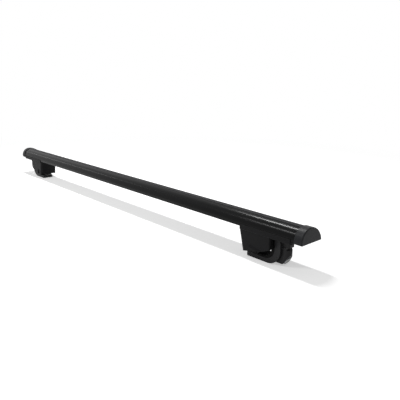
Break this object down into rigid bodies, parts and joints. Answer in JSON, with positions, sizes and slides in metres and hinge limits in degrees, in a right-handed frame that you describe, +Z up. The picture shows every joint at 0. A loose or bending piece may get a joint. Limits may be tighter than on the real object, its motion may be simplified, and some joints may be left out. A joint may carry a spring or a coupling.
{
  "type": "roof rack crossbar",
  "caption": "Aero roof rack crossbar with two lockable clamping feet for raised side rails; each foot slides along the bar and its hook opens on a bolt.",
  "frame": {"origin": "centre of the crossbar's box, on the plane its two hooks stand on", "axes": "+X along the bar towards the right foot, +Y to the rear of the car, +Z up"},
  "size_m": [1.2, 0.057, 0.087],
  "materials": {
    "black_aluminium": "satin powder coat",
    "black_rubber": "matte",
    "cap_plastic": "fine grain, matte",
    "foot_plastic": "fine grain, matte",
    "hook_metal": "satin powder coat",
    "zinc_steel": "zinc plated",
    "lock_chrome": "satin chrome",
    "lock_steel": "turned"
  },
  "bodies": {
    "bar": {"bar_extrusion": "black_aluminium", "top_strip": "black_rubber", "right_end_cap": "cap_plastic", "left_end_cap": "cap_plastic"},
    "right_foot": {"right_foot_body": "foot_plastic", "right_foot_gasket": "black_rubber", "right_slot_plate": "zinc_steel", "right_foot_screws": "zinc_steel", "right_rail_pads": "black_rubber", "right_captive_nut": "zinc_steel"},
    "right_jaw": {"right_clamp_jaw": "hook_metal", "right_jaw_liner": "black_rubber", "right_lock_housing": "foot_plastic", "right_housing_screws": "zinc_steel", "right_clamp_washer": "zinc_steel", "right_lock_barrel": "lock_chrome"},
    "right_bolt": {"right_clamp_bolt": "zinc_steel"},
    "right_lock": {"right_lock_plug": "lock_steel", "right_lock_cam": "zinc_steel"},
    "left_foot": {"left_foot_body": "foot_plastic", "left_foot_gasket": "black_rubber", "left_slot_plate": "zinc_steel", "left_foot_screws": "zinc_steel", "left_rail_pads": "black_rubber", "left_captive_nut": "zinc_steel"},
    "left_jaw": {"left_clamp_jaw": "hook_metal", "left_jaw_liner": "black_rubber", "left_lock_housing": "foot_plastic", "left_housing_screws": "zinc_steel", "left_clamp_washer": "zinc_steel", "left_lock_barrel": "lock_chrome"},
    "left_bolt": {"left_clamp_bolt": "zinc_steel"},
    "left_lock": {"left_lock_plug": "lock_steel", "left_lock_cam": "zinc_steel"}
  },
  "joints": [
    {"name": "right_foot_slide", "type": "slide", "parent": "bar", "child": "right_foot", "axis": [1, 0, 0], "range_m": [-0.08, 0.005]},
    {"name": "right_jaw_travel", "type": "slide", "parent": "right_foot", "child": "right_jaw", "axis": [0.829, 0, -0.5592], "range_m": [0, 0.026]},
    {"name": "right_bolt_turn", "type": "hinge", "parent": "right_jaw", "child": "right_bolt", "pos_m": [0.5495, 0, 0.01], "axis": [0.829, 0, -0.5592], "range_deg": [0, 7489]},
    {"name": "right_key_turn", "type": "hinge", "parent": "right_jaw", "child": "right_lock", "pos_m": [0.5495, 0, 0.01], "axis": [0.829, 0, -0.5592], "range_deg": [0, 90]},
    {"name": "left_foot_slide", "type": "slide", "parent": "bar", "child": "left_foot", "axis": [-1, 0, 0], "range_m": [-0.08, 0.005]},
    {"name": "left_jaw_travel", "type": "slide", "parent": "left_foot", "child": "left_jaw", "axis": [-0.829, 0, -0.5592], "range_m": [0, 0.026]},
    {"name": "left_bolt_turn", "type": "hinge", "parent": "left_jaw", "child": "left_bolt", "pos_m": [-0.5495, 0, 0.01], "axis": [-0.829, 0, -0.5592], "range_deg": [0, 7489]},
    {"name": "left_key_turn", "type": "hinge", "parent": "left_jaw", "child": "left_lock", "pos_m": [-0.5495, 0, 0.01], "axis": [-0.829, 0, -0.5592], "range_deg": [0, 90]}
  ],
  "couplings": [
    {"joint": "right_bolt_turn", "follows": "right_jaw_travel", "rad_per_m": 5026.5},
    {"joint": "left_bolt_turn", "follows": "left_jaw_travel", "rad_per_m": 5026.5}
  ]
}
